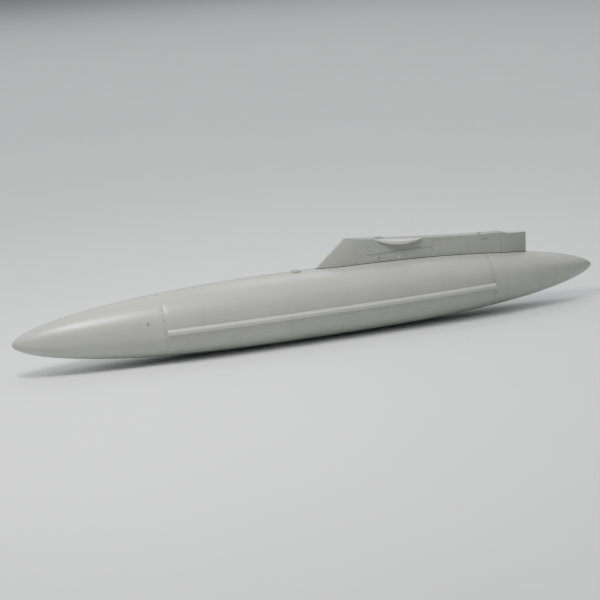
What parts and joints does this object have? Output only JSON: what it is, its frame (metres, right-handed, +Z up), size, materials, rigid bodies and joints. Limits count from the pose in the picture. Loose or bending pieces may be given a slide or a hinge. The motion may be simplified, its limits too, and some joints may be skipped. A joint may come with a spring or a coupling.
{
  "type": "underwing fuel tank with pylon",
  "caption": "Long spindle-shaped underwing fuel tank with side strakes, hung by hooks from a swept pylon with access doors, connectors and bolt attachments to the wing.",
  "frame": {"origin": "top centre of the forward attachment's bolt bore, on the pylon's top", "axes": "+X aft along the tank, -X towards its nose, +Y to the right-hand side, +Z up towards the wing"},
  "size_m": [5.899, 0.726, 0.9348],
  "materials": {
    "tank_skin": "light warm-grey paint, semi-matt",
    "pylon_skin": "light warm-grey paint, semi-matt",
    "strake": "light warm-grey paint, semi-matt",
    "panel": "light warm-grey paint, semi-matt",
    "structure": "chromate-primed alloy",
    "pipe": "bare alloy",
    "steel": "machined steel, plated",
    "fastener": "flush steel fasteners",
    "seal": "black synthetic rubber",
    "wing_pad": "dense composite pad",
    "float": "foam float",
    "connector": "moulded insert"
  },
  "bodies": {
    "tank_and_pylon": {"nose_cone": "tank_skin", "tail_cone": "tank_skin", "tail_cap": "tank_skin", "centre_skin_upper": "tank_skin", "centre_skin_lower": "tank_skin", "joint_rings": "structure", "tank_joint_screws": "fastener", "ring_frames": "structure", "slosh_baffles": "structure", "strake_left": "strake", "strake_right": "strake", "filler_neck": "tank_skin", "earthing_stud": "fastener", "strongback": "structure", "suspension_lugs": "steel", "fuel_pickup_pipe": "pipe", "air_pipe": "pipe", "fuel_probe": "pipe", "vent_valve_body": "pipe", "drain_body": "steel", "drain_spring": "steel", "pylon_nose_fairing": "pylon_skin", "pylon_tail_fairing": "pylon_skin", "base_seal": "seal", "pylon_skin_left": "pylon_skin", "pylon_skin_right": "pylon_skin", "door_hinge_pins": "fastener", "service_panel_left": "panel", "service_panel_right": "panel", "service_panel_screws": "fastener", "vent_grille": "structure", "bonding_stud": "fastener", "pylon_beam": "pylon_skin", "front_spar": "structure", "pylon_ribs": "structure", "fwd_attach_fitting": "steel", "aft_attach_fitting": "steel", "wing_pad_left": "wing_pad", "wing_pad_right": "wing_pad", "rack_side_plates": "structure", "hook_pivot_pins": "steel", "saddle_blocks": "structure", "fuel_riser": "pipe", "air_riser": "pipe", "electrical_connector": "connector"},
    "filler_cap": {"filler_cap": "tank_skin", "filler_seal": "seal"},
    "filler_lever": {"filler_lever": "steel"},
    "access_door_left": {"access_door_left": "panel"},
    "access_door_right": {"access_door_right": "panel"},
    "door_latch_left": {"door_latch_left": "steel"},
    "door_latch_right": {"door_latch_right": "steel"},
    "release_shaft": {"release_shaft": "steel"},
    "hook_fwd": {"hook_fwd": "steel"},
    "hook_aft": {"hook_aft": "steel"},
    "link_rod_fwd": {"link_rod_fwd": "steel"},
    "link_rod_aft": {"link_rod_aft": "steel"},
    "drain_poppet": {"drain_poppet": "steel"},
    "vent_float": {"vent_float": "float"}
  },
  "joints": [
    {"name": "filler_cap_lift", "type": "slide", "parent": "tank_and_pylon", "child": "filler_cap", "axis": [0, 0, 1], "range_m": [0, 0.08]},
    {"name": "filler_lever_flip", "type": "hinge", "parent": "filler_cap", "child": "filler_lever", "pos_m": [-0.878, 0, -0.229], "axis": [0, -1, 0], "range_deg": [0, 90]},
    {"name": "access_door_left_swing", "type": "hinge", "parent": "tank_and_pylon", "child": "access_door_left", "pos_m": [0.192, -0.0495, -0.153], "axis": [-1, 0, 0], "range_deg": [0, 100]},
    {"name": "access_door_right_swing", "type": "hinge", "parent": "tank_and_pylon", "child": "access_door_right", "pos_m": [0.192, 0.0495, -0.153], "axis": [1, 0, 0], "range_deg": [0, 100]},
    {"name": "door_latch_left_turn", "type": "hinge", "parent": "access_door_left", "child": "door_latch_left", "pos_m": [0.19, -0.047, -0.21163], "axis": [0, 1, 0], "range_deg": [0, 90]},
    {"name": "door_latch_right_turn", "type": "hinge", "parent": "access_door_right", "child": "door_latch_right", "pos_m": [0.19, 0.047, -0.21163], "axis": [0, 1, 0], "range_deg": [0, 90]},
    {"name": "release_shaft_turn", "type": "hinge", "parent": "tank_and_pylon", "child": "release_shaft", "pos_m": [-0.02, 0, -0.2], "axis": [0, -1, 0], "range_deg": [0, 45]},
    {"name": "hook_fwd_swing", "type": "hinge", "parent": "tank_and_pylon", "child": "hook_fwd", "pos_m": [-0.128, 0, -0.149], "axis": [0, -1, 0], "range_deg": [0, 45]},
    {"name": "hook_aft_swing", "type": "hinge", "parent": "tank_and_pylon", "child": "hook_aft", "pos_m": [0.634, 0, -0.149], "axis": [0, -1, 0], "range_deg": [0, 45]},
    {"name": "link_rod_fwd_swing", "type": "hinge", "parent": "release_shaft", "child": "link_rod_fwd", "pos_m": [-0.001, 0, -0.16709], "axis": [0, -1, 0], "range_deg": [-45, 0]},
    {"name": "link_rod_aft_swing", "type": "hinge", "parent": "release_shaft", "child": "link_rod_aft", "pos_m": [-0.001, 0, -0.16709], "axis": [0, -1, 0], "range_deg": [-45, 0]},
    {"name": "drain_poppet_press", "type": "slide", "parent": "tank_and_pylon", "child": "drain_poppet", "axis": [0, 0, 1], "range_m": [0, 0.006], "stiffness_N_per_m": 2000, "springref_m": -0.005, "deforming": ["drain_spring"]},
    {"name": "vent_float_swing", "type": "hinge", "parent": "tank_and_pylon", "child": "vent_float", "pos_m": [-0.288, 0, -0.414], "axis": [0, 1, 0], "range_deg": [0, 40]}
  ],
  "couplings": [
    {"joint": "hook_fwd_swing", "follows": "release_shaft_turn", "ratio": 1},
    {"joint": "hook_aft_swing", "follows": "release_shaft_turn", "ratio": 1},
    {"joint": "link_rod_fwd_swing", "follows": "release_shaft_turn", "ratio": -1},
    {"joint": "link_rod_aft_swing", "follows": "release_shaft_turn", "ratio": -1}
  ]
}
